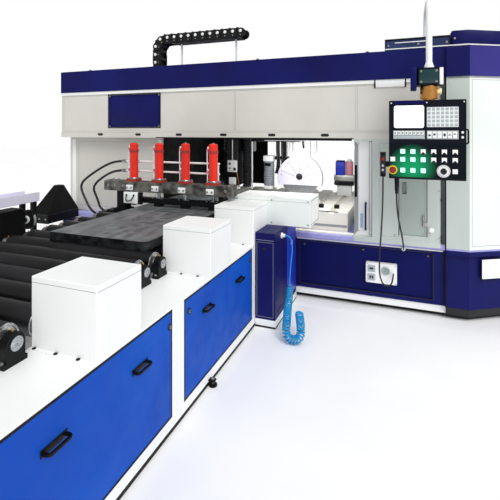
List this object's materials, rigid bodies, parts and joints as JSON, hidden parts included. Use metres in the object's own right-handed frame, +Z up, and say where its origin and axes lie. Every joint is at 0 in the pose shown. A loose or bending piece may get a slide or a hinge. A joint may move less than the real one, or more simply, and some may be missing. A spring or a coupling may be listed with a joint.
{
  "type": "plate sawing and milling machine",
  "caption": "Enclosed gantry machine that saws and mills steel plate fed on a roller conveyor through a hydraulic clamp, with a hanging control panel.",
  "frame": {"origin": "bottom centre of the machine and conveyor together, on the floor", "axes": "+Z up; +X along the machine's front from left to right; +Y from the conveyor's free end into the machine"},
  "size_m": [4.78, 4.695, 2.627],
  "materials": {
    "white_paint": "semi-gloss powder coat",
    "blue_paint": "gloss enamel",
    "navy_paint": "gloss enamel",
    "cream_paint": "textured powder coat",
    "grey_green_paint": "semi-gloss powder coat",
    "steel_blue_paint": "semi-gloss powder coat",
    "red_paint": "gloss enamel",
    "black_rubber": "moulded rubber sleeve",
    "black_plastic": "moulded",
    "dark_console": "moulded",
    "key_plastic": "moulded",
    "red_plastic": "moulded",
    "bare_steel": "ground",
    "mill_scale": "hot rolled scale",
    "grey_cast": "cast",
    "beam_grey": "worn paint",
    "lavender_paint": "semi-gloss powder coat",
    "hose_blue": "extruded polyurethane",
    "brass": "turned"
  },
  "bodies": {
    "machine": {"frame_right": "white_paint", "frame_left": "white_paint", "cross_beams": "white_paint", "side_panel_1": "blue_paint", "side_panel_2": "blue_paint", "panel_handles": "black_plastic", "levelling_feet": "bare_steel", "rollers_under_plate": "black_rubber", "bearing_blocks": "grey_cast", "drive_covers": "white_paint", "drive_motors": "black_plastic", "workpiece_plate": "mill_scale", "end_cover": "grey_green_paint", "side_cabinet": "navy_paint", "clamp_portal": "beam_grey", "clamp_cylinders": "red_paint", "manifold_pipes": "bare_steel", "hydraulic_hose_1": "black_rubber", "hydraulic_hose_2": "black_rubber", "machine_base": "navy_paint", "left_pillar": "cream_paint", "right_column": "cream_paint", "upper_enclosure": "cream_paint", "top_band": "navy_paint", "roof_fittings": "steel_blue_paint", "right_base": "navy_paint", "right_body": "cream_paint", "hopper": "black_plastic", "energy_chain": "black_plastic", "gantry_beam": "grey_cast", "control_arm": "white_paint", "swivel_block": "navy_paint", "cable_1": "black_rubber", "cable_2": "black_rubber", "socket_box": "white_paint", "hose_fitting": "brass", "hose_lead": "hose_blue", "hose_coil": "hose_blue"},
    "clamp": {"clamp_bar": "bare_steel"},
    "saw_slide": {"saw_carriage": "bare_steel"},
    "saw_head_body": {"saw_head": "grey_cast", "saw_guard": "lavender_paint"},
    "saw_blade_body": {"saw_blade": "bare_steel"},
    "mill_slide": {"mill_carriage": "black_rubber"},
    "mill_ram_body": {"mill_ram": "white_paint"},
    "spindle_body": {"milling_spindle": "bare_steel"},
    "door_body": {"sliding_door": "white_paint"},
    "access_body": {"access_door": "grey_green_paint"},
    "console": {"control_panel": "dark_console", "panel_keys": "key_plastic"},
    "stop_button": {"emergency_stop": "red_plastic"},
    "override_dial": {"override_knob": "key_plastic"},
    "roller_1_body": {"roller_1": "black_rubber"},
    "roller_2_body": {"roller_2": "black_rubber"},
    "roller_3_body": {"roller_3": "black_rubber"},
    "roller_4_body": {"roller_4": "black_rubber"},
    "roller_5_body": {"roller_5": "black_rubber"},
    "roller_6_body": {"roller_6": "black_rubber"},
    "roller_7_body": {"roller_7": "black_rubber"},
    "roller_8_body": {"roller_8": "black_rubber"}
  },
  "joints": [
    {"name": "roller_1_spin", "type": "hinge", "parent": "machine", "child": "roller_1_body", "pos_m": [-0.745, -2.2075, 0.705], "axis": [1, 0, 0], "continuous": true},
    {"name": "roller_2_spin", "type": "hinge", "parent": "machine", "child": "roller_2_body", "pos_m": [-0.745, -2.0425, 0.705], "axis": [1, 0, 0], "continuous": true},
    {"name": "roller_3_spin", "type": "hinge", "parent": "machine", "child": "roller_3_body", "pos_m": [-0.745, -1.8775, 0.705], "axis": [1, 0, 0], "continuous": true},
    {"name": "roller_4_spin", "type": "hinge", "parent": "machine", "child": "roller_4_body", "pos_m": [-0.745, -1.7125, 0.705], "axis": [1, 0, 0], "continuous": true},
    {"name": "roller_5_spin", "type": "hinge", "parent": "machine", "child": "roller_5_body", "pos_m": [-0.745, -1.5475, 0.705], "axis": [1, 0, 0], "continuous": true},
    {"name": "roller_6_spin", "type": "hinge", "parent": "machine", "child": "roller_6_body", "pos_m": [-0.745, -1.3825, 0.705], "axis": [1, 0, 0], "continuous": true},
    {"name": "roller_7_spin", "type": "hinge", "parent": "machine", "child": "roller_7_body", "pos_m": [-0.745, -1.2175, 0.705], "axis": [1, 0, 0], "continuous": true},
    {"name": "roller_8_spin", "type": "hinge", "parent": "machine", "child": "roller_8_body", "pos_m": [-0.745, -1.0525, 0.705], "axis": [1, 0, 0], "continuous": true},
    {"name": "clamp_lift", "type": "slide", "parent": "machine", "child": "clamp", "axis": [0, 0, 1], "range_m": [0, 0.045]},
    {"name": "saw_travel", "type": "slide", "parent": "machine", "child": "saw_slide", "axis": [1, 0, 0], "range_m": [-0.06, 0.33]},
    {"name": "saw_feed", "type": "slide", "parent": "saw_slide", "child": "saw_head_body", "axis": [0, 0, 1], "range_m": [-0.09, 0.06]},
    {"name": "saw_blade_spin", "type": "hinge", "parent": "saw_head_body", "child": "saw_blade_body", "pos_m": [0.225, 1.2175, 1.005], "axis": [0, 1, 0], "continuous": true},
    {"name": "mill_travel", "type": "slide", "parent": "machine", "child": "mill_slide", "axis": [1, 0, 0], "range_m": [-0.34, 0.1]},
    {"name": "mill_feed", "type": "slide", "parent": "mill_slide", "child": "mill_ram_body", "axis": [0, 0, 1], "range_m": [-0.06, 0.1]},
    {"name": "spindle_spin", "type": "hinge", "parent": "mill_ram_body", "child": "spindle_body", "pos_m": [-0.512, 1.2175, 0.95], "axis": [0, 0, 1], "continuous": true},
    {"name": "door_slide", "type": "slide", "parent": "machine", "child": "door_body", "axis": [-1, 0, 0], "range_m": [0, 0.6]},
    {"name": "access_hinge", "type": "hinge", "parent": "machine", "child": "access_body", "pos_m": [1.399, 0.5902, 1], "axis": [0, 0, 1], "range_deg": [0, 95]},
    {"name": "console_swivel", "type": "hinge", "parent": "machine", "child": "console", "pos_m": [1.426, 0.2975, 1.85], "axis": [0, 0, 1], "range_deg": [-25, 25]},
    {"name": "emergency_stop_press", "type": "slide", "parent": "console", "child": "stop_button", "axis": [0, 1, 0], "range_m": [0, 0.004], "stiffness_N_per_m": 1500, "springref_m": -0.002},
    {"name": "override_turn", "type": "hinge", "parent": "console", "child": "override_dial", "pos_m": [1.519, 0.2475, 1.21], "axis": [0, 1, 0], "range_deg": [-135, 135]}
  ],
  "couplings": [
    {"joint": "roller_2_spin", "follows": "roller_1_spin", "ratio": 1},
    {"joint": "roller_3_spin", "follows": "roller_1_spin", "ratio": 1},
    {"joint": "roller_4_spin", "follows": "roller_1_spin", "ratio": 1},
    {"joint": "roller_5_spin", "follows": "roller_1_spin", "ratio": 1},
    {"joint": "roller_6_spin", "follows": "roller_1_spin", "ratio": 1},
    {"joint": "roller_7_spin", "follows": "roller_1_spin", "ratio": 1},
    {"joint": "roller_8_spin", "follows": "roller_1_spin", "ratio": 1}
  ]
}
